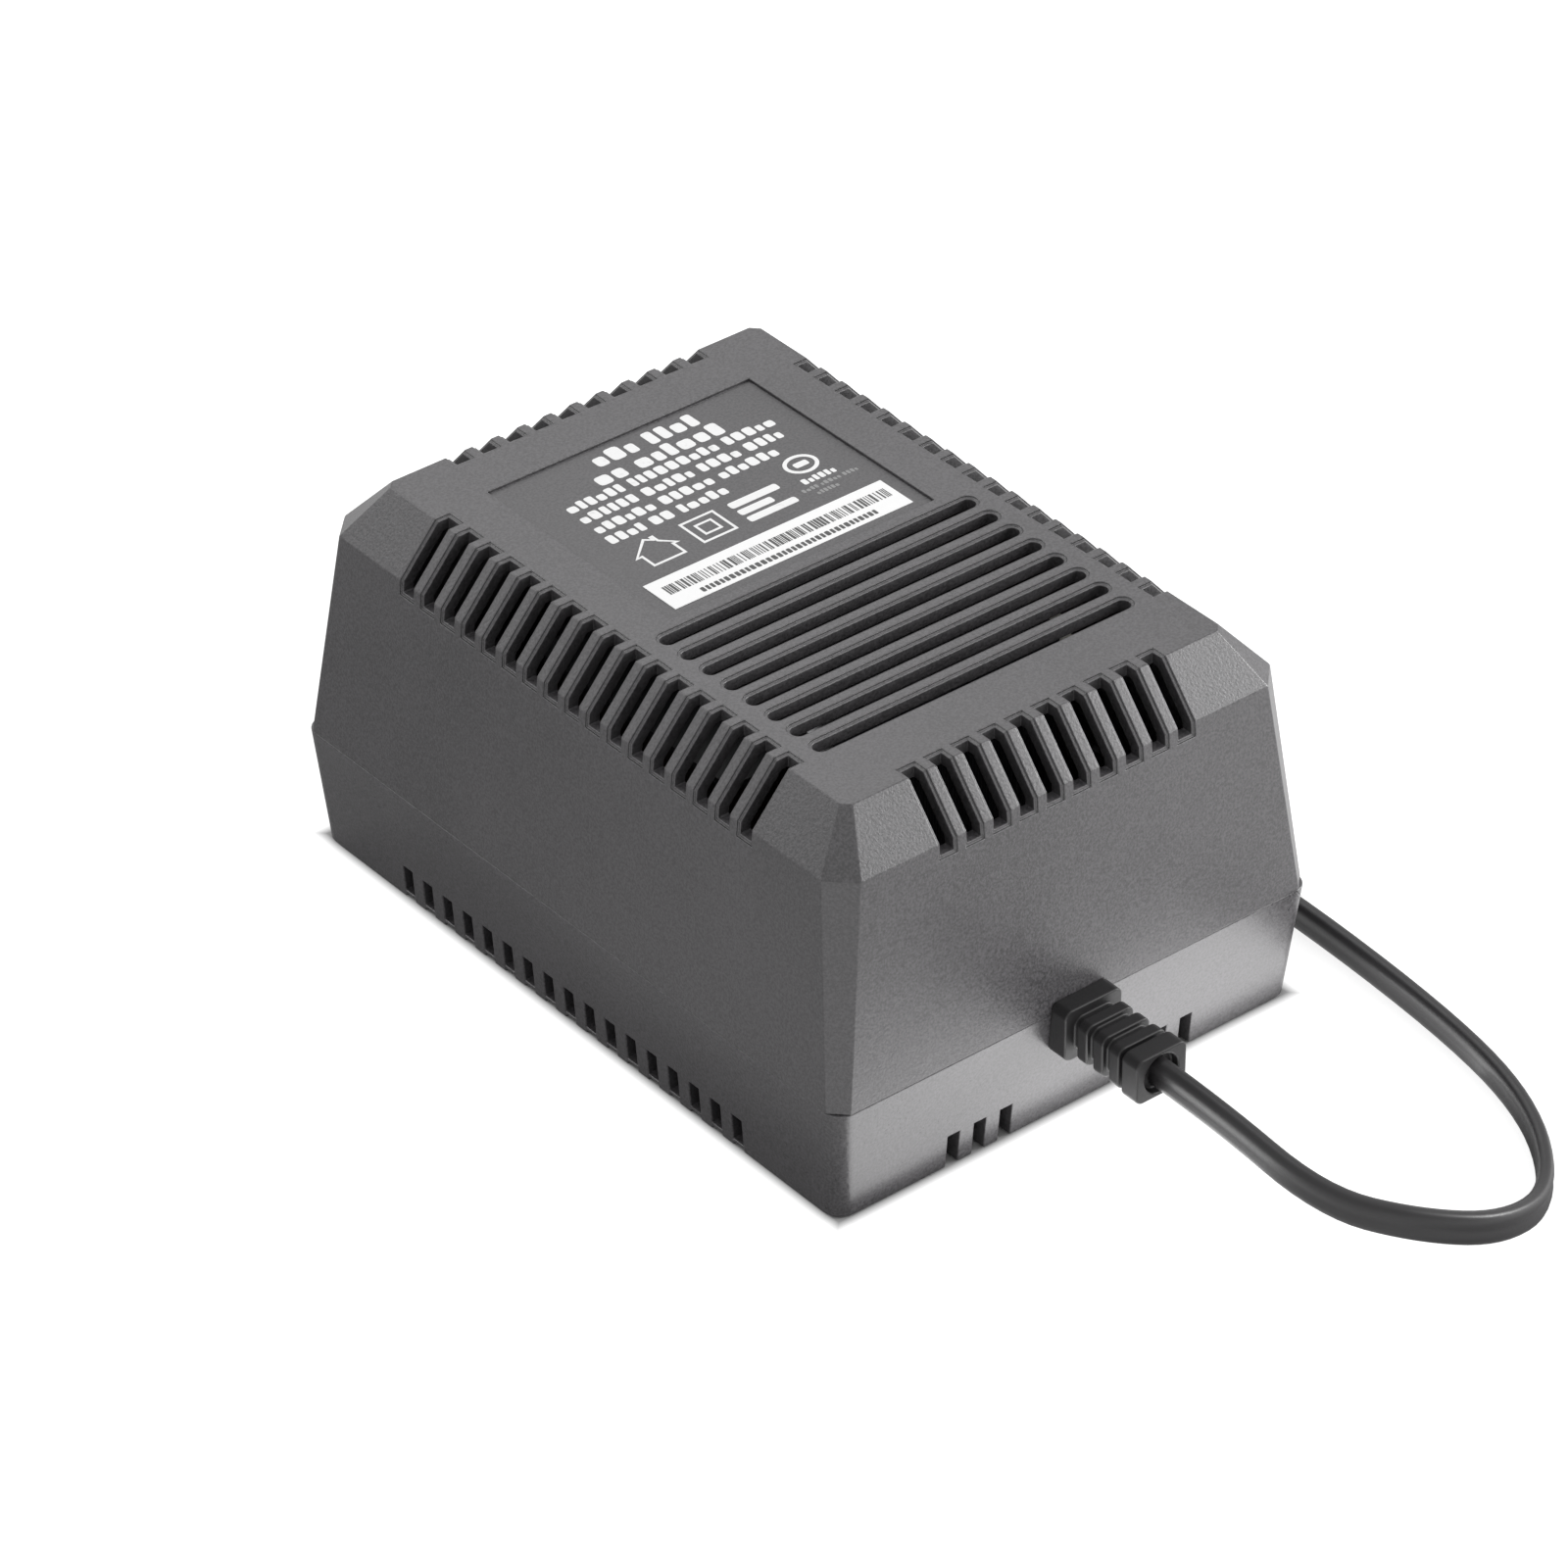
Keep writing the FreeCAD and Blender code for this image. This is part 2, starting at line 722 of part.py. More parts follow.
def splice_caps():
    z = primary_lead_height
    caps = []
    for y in cap_rows:
        straight = cylinder(cap_radius, Vector(cap_mouth_x - cap_length / 2, y, z), Vector(1, 0, 0),
                            cap_length / 2)
        nose = Part.makeCone(cap_tip_radius, cap_radius, cap_length / 2,
                             Vector(cap_mouth_x - cap_length, y, z), Vector(1, 0, 0))
        mouth = cylinder(primary_lead_radius, Vector(cap_mouth_x - cap_mouth_depth, y, z),
                         Vector(1, 0, 0), cap_mouth_depth)
        caps.append(straight.fuse(nose).cut(mouth).removeSplitter())
    return Part.makeCompound(caps)


def secondary_leads():
    """Two insulated leads from their pins to the inner end of the strain relief."""
    outer_x = -(rail_tip_x + pin_length - secondary_lead_radius)
    inner_x = -(rail_tip_x + secondary_lead_radius)
    end_y = -trap_inner_y + trap_flange_thickness
    apart = cord_width / 4
    leads = []
    for x, y_start, y_row, x_end in ((outer_x, -pin_spacing, secondary_turns_in_y[0], -apart),
                                     (inner_x, pin_spacing, secondary_turns_in_y[1], apart)):
        route = [Vector(x, y_start + 1, secondary_lead_height), Vector(x, y_row, secondary_lead_height),
                 Vector(x_end, y_row, lead_height), Vector(x_end, end_y, lead_height)]
        leads.append(tube(route, secondary_lead_radius, lead_bend_radius)[0])
    return Part.makeCompound(leads)


def outside_of_case():
    return faceted_body(shell_rings(0)).fuse(base_block(0, 0))


def strain_relief():
    wall_y = -half_length
    flange = end_block(relief_flange_width, relief_flange_height, relief_corner_radius,
                       wall_y - relief_flange_thickness, wall_y + wall, lead_height)
    flange = flange.cut(outside_of_case())
    trapped = end_block(relief_neck_width, relief_neck_height, relief_corner_radius,
                        wall_y - relief_flange_thickness, -trap_inner_y, lead_height)
    inner_flange = end_block(relief_flange_width, relief_flange_height, relief_corner_radius,
                             -trap_inner_y, -trap_inner_y + trap_flange_thickness, lead_height)
    neck = end_block(relief_neck_width, relief_neck_height, relief_corner_radius,
                     relief_tip_y + relief_end_thickness / 2, wall_y - relief_flange_thickness, lead_height)
    blocks = [trapped, inner_flange, neck]
    for i in range(relief_rib_count):
        y = wall_y - relief_first_rib - i * relief_rib_pitch
        blocks.append(end_block(relief_rib_width, relief_rib_height, relief_corner_radius,
                                y - relief_rib_thickness, y, lead_height))
    blocks.append(end_block(relief_end_width, relief_end_height, relief_corner_radius,
                            relief_tip_y, relief_tip_y + relief_end_thickness, lead_height))
    recess = cylinder(cord_radius + relief_recess_gap, Vector(0, relief_tip_y - 1, lead_height),
                      Vector(0, 1, 0), relief_recess_depth + 1)
    return flange.fuse(blocks).cut(recess).removeSplitter()


def rear_cord_gland():
    wall_y = half_length
    tip_y = wall_y + gland_flange_thickness + gland_sleeve_length
    along = Vector(0, 1, 0)
    flange = cylinder(gland_flange_radius, Vector(0, wall_y - wall, lead_height), along,
                      wall + gland_flange_thickness)
    flange = flange.cut(outside_of_case())
    trapped = cylinder(gland_neck_radius, Vector(0, trap_inner_y, lead_height), along,
                       wall_y + gland_flange_thickness - trap_inner_y)
    inner_flange = cylinder(gland_flange_radius, Vector(0, trap_inner_y - trap_flange_thickness, lead_height),
                            along, trap_flange_thickness)
    sleeve = Part.makeCone(gland_neck_radius, gland_sleeve_tip_radius, gland_sleeve_length,
                           Vector(0, wall_y + gland_flange_thickness, lead_height), along)
    bore = cylinder(gland_bore_radius, Vector(0, 0, lead_height), along, tip_y + 1)
    return flange.fuse([trapped, inner_flange, sleeve]).cut(bore).removeSplitter()


def rating_label():
    bottom = case_height - recess_depth
    half_w = label_width / 2 - label_gap
    half_l = label_length / 2 - label_gap
    return box(-half_w, half_w, label_centre - half_l, label_centre + half_l,
               bottom, bottom + label_thickness)


def serial_sticker():
    bottom = case_height - recess_depth + label_thickness
    y = label_centre - label_length / 2 + sticker_offset
    return box(-sticker_width / 2, sticker_width / 2, y, y + sticker_length,
               bottom, bottom + sticker_thickness)


# The hank: its outermost lane, its outside, and where the lead joins that lane
hank_outer_lane = hank_inner_radius + cord_radius + (hank_turns_across - 1) * hank_turn_pitch
hank_outer_radius = hank_outer_lane + cord_radius
hank_height = hank_layers * hank_layer_height
join_x = hank_centre_x + hank_run / 2 + hank_outer_lane * math.sqrt(0.5)
join_y = hank_centre_y - hank_outer_lane * math.sqrt(0.5)
upper_layer = hank_layer_height * 1.5

# Route of the output lead: straight out of the strain relief, then down to the floor and back
# along the right side
lead_turn_y = relief_tip_y - lead_straight
cord_route = [
    Vector(0, relief_tip_y + relief_recess_depth, lead_height),
    Vector(0, relief_tip_y - lead_straight * 0.35, lead_height),
    Vector(0, lead_turn_y, lead_height - lead_droop),
    Vector(half_width * 0.2, lead_turn_y - lead_swing * 0.72, lead_height * 0.7),
    Vector(half_width * 0.49, lead_turn_y - lead_swing, lead_height * 0.42),
    Vector(half_width * 0.85, lead_turn_y - lead_swing * 0.78, cord_radius),
    Vector(half_width + lead_beside_case / 2, lead_turn_y + lead_swing * 0.3, cord_radius),
    Vector(half_width + lead_beside_case, lead_turn_y + lead_swing * 2, cord_radius),
    Vector(half_width + lead_beside_case + lead_wander, -half_length * 0.72, cord_radius),
    Vector(half_width + lead_beside_case - lead_wander, -half_length * 0.25, cord_radius),
    Vector(half_width + lead_beside_case + lead_wander, half_length * 0.23, cord_radius),
    Vector(half_width + lead_beside_case + lead_wander / 2, half_length * 0.63, cord_radius),
    Vector(join_x - lead_run_in, join_y - lead_run_in, cord_radius),
    Vector(join_x, join_y, cord_radius),
]
# Route from the top of the hank to the plug
tail_route = [
    Vector(hank_centre_x + tail_leaves, hank_centre_y - hank_outer_lane, upper_layer),
    Vector(hank_centre_x + tail_leaves + tail_straight, hank_centre_y - hank_outer_lane, upper_layer),
    Vector(plug_x - tail_sway, plug_rear_y + tail_drop_from, upper_layer),
    Vector(plug_x, plug_rear_y + tail_lands, plug_radius),
    Vector(plug_x, plug_rear_y, plug_radius),
]


def hank_block(radius):
    centre = Vector(hank_centre_x, hank_centre_y, 0)
    return stadium(hank_run + 2 * radius, 2 * radius, centre, 0, hank_height)


def tie_window(grow):
    """Section of the bundle at the tie, on the far run of the hank."""
    near = hank_centre_y + hank_inner_radius
    far = hank_centre_y + hank_outer_radius
    half = tie_width / 2
    return box(hank_centre_x - half, hank_centre_x + half, near - grow, far + grow, -grow, hank_height + grow)


def cord_tie():
    return tie_window(0).cut(tie_window(-tie_thickness))


def hank_pocket(end, leaving, outward):
    """Room in one layer of the hank for a strand that leaves it, from the strand's end face on."""
    foot = Vector(end.x, end.y, end.z - cord_radius)
    inner = foot - outward * cord_radius
    outer = foot + outward * cord_width * 3
    reach = leaving * cord_width * 6
    return face_of([inner, outer, outer + reach, inner + reach]).extrude(Vector(0, 0, hank_layer_height))


def cord_hank():
    """The wound-up length as one ring, with a groove for its tie and a pocket for each end."""
    ring = hank_block(hank_outer_radius).cut(hank_block(hank_inner_radius))
    half_turn = math.sqrt(0.5)
    lead_pocket = hank_pocket(cord_route[-1], Vector(-half_turn, -half_turn, 0),
                              Vector(half_turn, -half_turn, 0))
    tail_pocket = hank_pocket(tail_route[0], Vector(1, 0, 0), Vector(0, -1, 0))
    return ring.cut([cord_tie(), lead_pocket, tail_pocket])


def cord_tube(name, points):
    solid, path, radii = tube(points, cord_radius)
    expected = math.pi * cord_radius ** 2 * path.Length
    print(name, "length", round(path.Length, 1), "volume share", round(solid.Volume / expected, 4))
    print(name, "bend radii", [round(radius, 1) for radius in radii])
    return solid


plug_nose = Vector(plug_x, plug_rear_y - plug_boot_length - plug_body_length, plug_radius)


def plug_body():
    profile = [(plug_contact_radius, 0), (plug_radius - plug_nose_chamfer, 0),
               (plug_radius, plug_nose_chamfer), (plug_radius, plug_body_length - plug_neck_length),
               (plug_boot_radius + plug_boot_taper, plug_body_length)]
    step = plug_boot_length / (plug_boot_grooves + 0.5)
    for i in range(plug_boot_grooves):
        start = plug_body_length + (i + 0.5) * step
        share = (start - plug_body_length) / plug_boot_length
        radius = plug_boot_radius + plug_boot_taper * (1 - share)
        profile += [(radius, start), (radius - plug_groove_depth, start),
                    (radius - plug_groove_depth, start + plug_groove_width),
                    (radius, start + plug_groove_width)]
    end = plug_body_length + plug_boot_length
    profile += [(plug_boot_radius, end), (0, end), (0, plug_root + 1), (plug_contact_radius, plug_root + 1)]
    body = turned(profile, plug_nose)
    return body.cut(cylinder(plug_sleeve_radius - plug_sleeve_wall, plug_nose, Vector(0, 1, 0), plug_root))


def plug_barrel():
    inner = plug_sleeve_radius - plug_sleeve_wall
    profile = [(inner, -plug_sleeve_length), (plug_sleeve_radius, -plug_sleeve_length),
               (plug_sleeve_radius, 0), (inner, 0)]
    return turned(profile, plug_nose)


def plug_insulator():
    outer = plug_sleeve_radius - plug_sleeve_wall
    profile = [(plug_contact_radius, -plug_sleeve_length), (outer, -plug_sleeve_length),
               (outer, plug_root), (plug_contact_radius, plug_root)]
    return turned(profile, plug_nose)


def plug_contact():
    profile = [(plug_contact_bore, -plug_contact_length), (plug_contact_radius, -plug_contact_length),
               (plug_contact_radius, plug_root + 1), (plug_contact_bore, plug_root + 1)]
    return turned(profile, plug_nose)


def save(name, shape):
    if not shape.isValid():
        print(name, "is not valid")
    print(name, "solids", len(shape.Solids), "volume", round(shape.Volume, 1))
    shape.exportStep("parts/" + name + ".step")


def main():
    os.makedirs("parts", exist_ok=True)
    save("upper_housing", upper_housing())
    save("base_housing", base_housing())
    save("housing_screws", housing_screws())
    save("core_e_laminations", core_e_laminations())
    save("core_i_laminations", core_i_laminations())
    save("core_bolts", core_bolts())
    save("core_nuts", core_nuts())
    save("core_washers", core_washers())
    save("bobbin", bobbin())
    save("terminal_pins", terminal_pins())
    save("primary_winding", winding(0))
    save("secondary_winding", winding(1))
    save("primary_tape", winding_tape(0))
    save("secondary_tape", winding_tape(1))
    save("thermal_fuse", thermal_fuse())
    save("primary_leads", primary_leads())
    save("splice_caps", splice_caps())
    save("secondary_leads", secondary_leads())
    save("strain_relief", strain_relief())
    save("rear_cord_gland", rear_cord_gland())
    save("rating_label", rating_label())
    save("serial_sticker", serial_sticker())
    save("output_cord", cord_tube("output_cord", cord_route))
    save("cord_tail", cord_tube("cord_tail", tail_route))
    save("cord_hank", cord_hank())
    save("cord_tie", cord_tie())
    save("plug_body", plug_body())
    save("plug_barrel", plug_barrel())
    save("plug_insulator", plug_insulator())
    save("plug_contact", plug_contact())


main()
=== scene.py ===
import math
import random

import bpy
from mathutils import Matrix, Vector


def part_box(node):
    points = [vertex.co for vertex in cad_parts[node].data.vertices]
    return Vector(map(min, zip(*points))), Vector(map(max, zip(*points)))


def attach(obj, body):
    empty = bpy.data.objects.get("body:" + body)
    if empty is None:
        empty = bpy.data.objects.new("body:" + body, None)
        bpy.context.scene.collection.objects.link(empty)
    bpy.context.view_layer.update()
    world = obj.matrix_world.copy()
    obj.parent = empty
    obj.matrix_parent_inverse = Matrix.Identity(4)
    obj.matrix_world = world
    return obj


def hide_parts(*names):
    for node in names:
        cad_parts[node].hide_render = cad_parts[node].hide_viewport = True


# A desktop mains transformer in a vented two-shell case, dressed over its CAD parts.
# +Y is the rear, -Y the end that the output lead leaves, +Z up; all lengths are in metres.
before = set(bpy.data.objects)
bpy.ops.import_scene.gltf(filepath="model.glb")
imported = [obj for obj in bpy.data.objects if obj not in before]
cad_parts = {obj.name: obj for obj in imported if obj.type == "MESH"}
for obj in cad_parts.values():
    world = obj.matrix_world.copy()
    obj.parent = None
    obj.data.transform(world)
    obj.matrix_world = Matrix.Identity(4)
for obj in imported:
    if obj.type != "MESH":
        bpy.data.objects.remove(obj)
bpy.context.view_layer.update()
mm = 0.001


# Picking, joining and finishing objects

def work_on(piece):
    """Makes one object the only selected and active one."""
    bpy.ops.object.select_all(action="DESELECT")
    piece.select_set(True)
    bpy.context.view_layer.objects.active = piece


def add_piece(name, mesh):
    piece = bpy.data.objects.new(name, mesh)
    bpy.context.scene.collection.objects.link(piece)
    work_on(piece)
    return piece


def join(name, parts):
    """Joins several mesh objects into one named piece."""
    work_on(parts[0])
    for part in parts:
        part.select_set(True)
    bpy.ops.object.join()
    piece = bpy.context.view_layer.objects.active
    piece.name = name
    bpy.ops.object.transform_apply(location=True, rotation=True, scale=True)
    return piece


def merged_copy(node, name):
    """A copy of a CAD node with its doubled points merged and its flat faces made whole."""
    piece = add_piece(name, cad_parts[node].data.copy())
    bpy.ops.mesh.customdata_custom_splitnormals_clear()
    bpy.ops.object.mode_set(mode="EDIT")
    bpy.ops.mesh.select_all(action="SELECT")
    bpy.ops.mesh.remove_doubles(threshold=0.002 * mm)
    bpy.ops.mesh.dissolve_limited(angle_limit=math.radians(0.6))
    bpy.ops.object.mode_set(mode="OBJECT")
    return piece


def soften(piece, width, segments, angle):
    """Rounds the edges of a piece and shades it smooth between them."""
    work_on(piece)
    bevel = piece.modifiers.new("soft edges", "BEVEL")
    bevel.width = width
    bevel.segments = segments
    bevel.limit_method = "ANGLE"
    bevel.angle_limit = math.radians(angle)
    bevel.use_clamp_overlap = False
    bevel.harden_normals = True
    bevel.miter_outer = "MITER_SHARP"
    bpy.ops.object.shade_smooth()
    bpy.ops.object.modifier_apply(modifier=bevel.name)


def dress(piece, material, slot, *nodes):
    """Gives a finished piece its material and its place on the part, and hides the CAD nodes it stands
    for.
    """
    piece.data.materials.clear()
    piece.data.materials.append(material)
    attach(piece, "root")
    if nodes:
        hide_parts(*nodes)
    return piece


def moulded(node, name, edge, material, slot, segments=2, angle=28):
    """A CAD node's form as a dressed piece with moulded edges."""
    piece = merged_copy(node, name)
    soften(piece, edge, segments, angle)
    return dress(piece, material, slot, node)


def coat(node, material):
    """Puts a material on a CAD node that stays as it is."""
    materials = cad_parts[node].data.materials
    materials.clear()
    materials.append(material)


# Shader maths: a wrapped socket that takes plain arithmetic, and the maker of its nodes

class Field:
    def __init__(self, maker, socket):
        self.maker = maker
        self.socket = socket

    def __add__(self, other):
        return self.maker.math("ADD", self, other)

    def __radd__(self, other):
        return self.maker.math("ADD", other, self)

    def __sub__(self, other):
        return self.maker.math("SUBTRACT", self, other)

    def __rsub__(self, other):
        return self.maker.math("SUBTRACT", other, self)

    def __mul__(self, other):
        return self.maker.math("MULTIPLY", self, other)

    def __rmul__(self, other):
        return self.maker.math("MULTIPLY", other, self)


class NodeMaker:
    """Adds nodes to one node tree and fills their sockets."""

    def __init__(self, tree):
        self.tree = tree

    def node(self, kind, settings=None, inputs=None):
        """Adds a node, sets it, then fills its sockets with numbers or links."""
        made = self.tree.nodes.new(kind)
        for name, value in (settings or {}).items():
            setattr(made, name, value)
        for name, value in (inputs or {}).items():
            if isinstance(value, Field):
                self.tree.links.new(value.socket, made.inputs[name])
            else:
                made.inputs[name].default_value = value
        return made

    def field(self, node, output=0):
        return Field(self, node.outputs[output])

    def math(self, operation, first, second=0.0):
        return self.field(self.node("ShaderNodeMath", {"operation": operation}, {0: first, 1: second}))

    def limit(self, value):
        """A value held between 0 and 1."""
        return self.math("MINIMUM", self.math("MAXIMUM", value, 0.0), 1.0)

    def either_shader(self, share, first, second):
        """A shader between two, by a share."""
        return self.field(self.node("ShaderNodeMixShader", None, {0: share, 1: first, 2: second}))

    def send_out(self, shader, output_name):
        self.tree.links.new(shader.socket, self.tree.nodes[output_name].inputs["Surface"])


class Finish(NodeMaker):
    """One material: its Principled shader and what varies over it."""

    def __init__(self, name, **constants):
        self.material = bpy.data.materials.new(name)
        self.material.use_nodes = True
        super().__init__(self.material.node_tree)
        self.shader = self.tree.nodes["Principled BSDF"]
        for socket, value in constants.items():
            self.shader.inputs[socket.replace("_", " ")].default_value = value
        self.place = self.field(self.node("ShaderNodeTexCoord"), "Object")

    def noise(self, scale, detail=2.0, roughness=0.5, place=None):
        made = self.node("ShaderNodeTexNoise", {"noise_dimensions": "3D"},
                         {"Vector": place or self.place, "Scale": scale, "Detail": detail,
                          "Roughness": roughness})
        return self.field(made)

    def along(self, axis):
        made = self.node("ShaderNodeSeparateXYZ", None, {0: self.place})
        return self.field(made, "XYZ".index(axis))

    def wave(self, axis, pitch):
        """Smooth ridges across one axis, from 0 to 1, a pitch apart."""
        turn = self.along(axis) * (2 * math.pi / pitch)
        return self.math("SINE", turn) * 0.5 + 0.5

    def mixed(self, share, first, second):
        """A colour between two, by a share."""
        made = self.node("ShaderNodeMix", {"data_type": "RGBA"}, {0: share})
        for index, colour in ((6, first), (7, second)):
            if isinstance(colour, Field):
                self.tree.links.new(colour.socket, made.inputs[index])
            else:
                made.inputs[index].default_value = (*colour, 1.0)
        return self.field(made, 2)

    def feed(self, socket, value):
        self.tree.links.new(value.socket, self.shader.inputs[socket])

    def bump(self, height, distance, strength):
        inputs = {"Height": height, "Distance": distance, "Strength": strength}
        return self.field(self.node("ShaderNodeBump", None, inputs), "Normal")


def grey(value, tint=0.0):
    """A neutral colour, with a slight lean to violet."""
    return (value * (1 + tint / 2), value * (1 - tint), value * (1 + tint))


def darker(colour, share):
    return tuple(part * share for part in colour)


def spark_eroded_plastic(name, shade, grain=1.0, roughness=0.38):
    """Charcoal moulded plastic with a fine spark-eroded grain, faint mottling and a few pale specks."""
    made = Finish(name, IOR=1.46, Specular_IOR_Level=1.0)
    pits = made.noise(2600, 3.0, 0.6)
    clouds = made.noise(45, 3.0, 0.55)
    specks = made.limit((made.noise(620, 1.0) - 0.8) * 14)
    tone = made.limit(0.5 + (clouds - 0.5) * 0.7 + (pits - 0.5) * 3.6)
    colour = made.mixed(tone, grey(shade * 0.6, 0.03), grey(shade * 1.4, 0.03))
    made.feed("Base Color", made.mixed(specks * 0.45, colour, grey(shade * 1.9, 0.02)))
    made.feed("Roughness", made.limit(roughness + (pits - 0.5) * 0.25 + (clouds - 0.5) * 0.12))
    made.feed("Normal", made.bump(pits, 0.1 * mm * grain, 0.5))
    return made.material


def moulded_rubber(name, shade, roughness=0.42):
    """Dark soft PVC with a satin skin and slight flow marks."""
    made = Finish(name, IOR=1.5)
    clouds = made.noise(120, 3.0, 0.6)
    fine = made.noise(1900)
    made.feed("Base Color", made.mixed(clouds, grey(shade * 0.8, 0.03), grey(shade * 1.25, 0.03)))
    made.feed("Roughness", made.limit(roughness + (clouds - 0.5) * 0.2 + (fine - 0.5) * 0.12))
    made.feed("Normal", made.bump(fine, 0.03 * mm, 0.4))
    return made.material


def plain_metal(name, colour, roughness, scratch_axis="X", scratch_pitch=0.09):
    """Drawn or turned metal with fine lines along one axis, a pitch in millimetres apart."""
    made = Finish(name, Metallic=1.0)
    squeeze = {"X": (0.06, 1, 1), "Y": (1, 0.06, 1), "Z": (1, 1, 0.06)}[scratch_axis]
    stretch = made.node("ShaderNodeMapping", None, {"Vector": made.place, "Scale": squeeze})
    lines = made.noise(1 / (scratch_pitch * mm), 2.0, 0.6, made.field(stretch))
    patches = made.noise(160)
    tone = made.limit(patches * 0.6 + lines * 0.4)
    made.feed("Base Color", made.mixed(tone, darker(colour, 0.78), colour))
    made.feed("Roughness", made.limit(roughness + (lines - 0.5) * 0.3))
    made.feed("Normal", made.bump(lines, 0.01 * mm, 0.4))
    return made.material


def laminated_steel(name):
    """Blued steel sheets, half a millimetre each, stacked along X under dark varnish."""
    made = Finish(name, IOR=1.5)
    sheets = made.wave("X", 0.5 * mm)
    patches = made.noise(130, 3.0)
    tone = made.limit(sheets * 0.4 + patches * 0.6)
    made.feed("Base Color", made.mixed(tone, (0.012, 0.012, 0.014), (0.035, 0.034, 0.038)))
    made.feed("Roughness", made.limit(0.42 + (patches - 0.5) * 0.3))
    made.feed("Normal", made.bump(sheets, 0.06 * mm, 0.6))
    return made.material


def wound_wire(name, colour, pitch):
    """Enamelled wire wound side by side, seen as fine ridges round the bobbin."""
    made = Finish(name, IOR=1.5)
    turns = made.wave("Z", pitch)
    patches = made.noise(220)
    tone = made.limit(turns * 0.7 + patches * 0.3)
    made.feed("Base Color", made.mixed(tone, darker(colour, 0.35), colour))
    made.feed("Roughness", made.limit(0.25 + patches * 0.15))
    made.feed("Normal", made.bump(turns, 0.12 * mm, 0.8))
    return made.material


def wrapped_tape(name, colour):
    """Polyester tape with faint wrap lines and a soft gloss."""
    made = Finish(name, IOR=1.5)
    wraps = made.wave("Z", 4.0 * mm)
    creases = made.noise(260, 3.0, 0.6)
    tone = made.limit(wraps * 0.5 + creases * 0.5)
    made.feed("Base Color", made.mixed(tone, darker(colour, 0.7), colour))
    made.feed("Roughness", made.limit(0.28 + creases * 0.2))
    made.feed("Normal", made.bump(creases + wraps * 0.4, 0.08 * mm, 0.5))
    return made.material


def moulded_nylon(name, colour, roughness=0.45):
    """Plain moulded nylon with a slight mottle."""
    made = Finish(name, IOR=1.53)
    clouds = made.noise(140, 3.0)
    fine = made.noise(1500)
    made.feed("Base Color", made.mixed(clouds, darker(colour, 0.82), colour))
    made.feed("Roughness", made.limit(roughness + (fine - 0.5) * 0.2))
    made.feed("Normal", made.bump(fine, 0.03 * mm, 0.4))
    return made.material


def printed_ink(name, shade):
    """Screen-printed ink, thin enough here and there for the grain below to show."""
    made = Finish(name, IOR=1.45)
    grain = made.noise(2400, 2.0, 0.6)
    worn = made.limit((made.noise(700) - 0.62) * 6) * 0.35
    colour = made.mixed(grain, grey(shade * 0.9), grey(shade))
    made.feed("Base Color", made.mixed(worn, colour, grey(shade * 0.45)))
    made.feed("Roughness", made.limit(0.5 + (grain - 0.5) * 0.2))
    made.feed("Normal", made.bump(grain, 0.03 * mm, 0.4))
    return made.material


def coated_paper(name, shade):
    """White coated label stock with a hint of fibre."""
    made = Finish(name, IOR=1.48)
    fibre = made.noise(900, 3.0, 0.65)
    made.feed("Base Color", made.mixed(fibre, grey(shade * 0.95), grey(shade)))
    made.feed("Roughness", made.limit(0.46 + (fibre - 0.5) * 0.2))
    made.feed("Normal", made.bump(fibre, 0.015 * mm, 0.4))
    return made.material


case_plastic = spark_eroded_plastic("case plastic", 0.066)
base_plastic = spark_eroded_plastic("base plastic", 0.07, 0.6, 0.33)
# A darker copy of the case plastic: painted shade for the slot walls, which the case leaves unlit.
painted_shade_plastic = spark_eroded_plastic("slot painted shade plastic", 0.04, 1.0, 0.5)
label_plastic = spark_eroded_plastic("label film", 0.056, 0.4)
lead_rubber = moulded_rubber("lead rubber", 0.022)
relief_rubber = moulded_rubber("relief rubber", 0.012, 0.5)
plug_rubber = moulded_rubber("plug rubber", 0.02, 0.38)
white_ink = printed_ink("white ink", 0.93)
grey_ink = printed_ink("grey ink", 0.3)
bar_ink = printed_ink("bar ink", 0.09)
sticker_stock = coated_paper("sticker stock", 0.95)

inside_finishes = {
    "housing_screws": plain_metal("zinc screw", (0.55, 0.54, 0.5), 0.35, "Z"),
    "core_e_laminations": laminated_steel("e laminations"),
    "core_i_laminations": laminated_steel("i laminations"),
    "core_bolts": plain_metal("bolt steel", (0.4, 0.4, 0.41), 0.38),
    "core_nuts": plain_metal("nut steel", (0.45, 0.44, 0.4), 0.36),
    "core_washers": plain_metal("washer steel", (0.42, 0.42, 0.42), 0.4, "Y"),
    "bobbin": moulded_nylon("bobbin nylon", (0.03, 0.03, 0.032)),
    "terminal_pins": plain_metal("tinned pin", (0.6, 0.59, 0.55), 0.3),
    "primary_winding": wound_wire("fine wire", (0.42, 0.12, 0.04), 0.35 * mm),
    "secondary_winding": wound_wire("heavy wire", (0.45, 0.15, 0.05), 0.9 * mm),
    "primary_tape": wrapped_tape("primary tape", (0.035, 0.03, 0.026)),
    "secondary_tape": wrapped_tape("secondary tape", (0.035, 0.03, 0.026)),
    "thermal_fuse": moulded_nylon("fuse can", (0.55, 0.52, 0.44), 0.35),
    "primary_leads": moulded_rubber("primary insulation", 0.02, 0.35),
    "secondary_leads": moulded_nylon("secondary insulation", (0.35, 0.03, 0.02), 0.4),
    "splice_caps": moulded_nylon("cap nylon", (0.75, 0.72, 0.62), 0.4),
}


# The case and its fittings: the CAD forms with moulded edges

def paint_shade_in_cuts(piece):
    """Paints shade onto the upright walls of the slots with a darker copy of the plastic; the drafted
    outer walls lean.
    """
    piece.data.materials.append(painted_shade_plastic)
    for face in piece.data.polygons:
        if abs(face.normal.z) < 0.02:
            face.material_index = 1


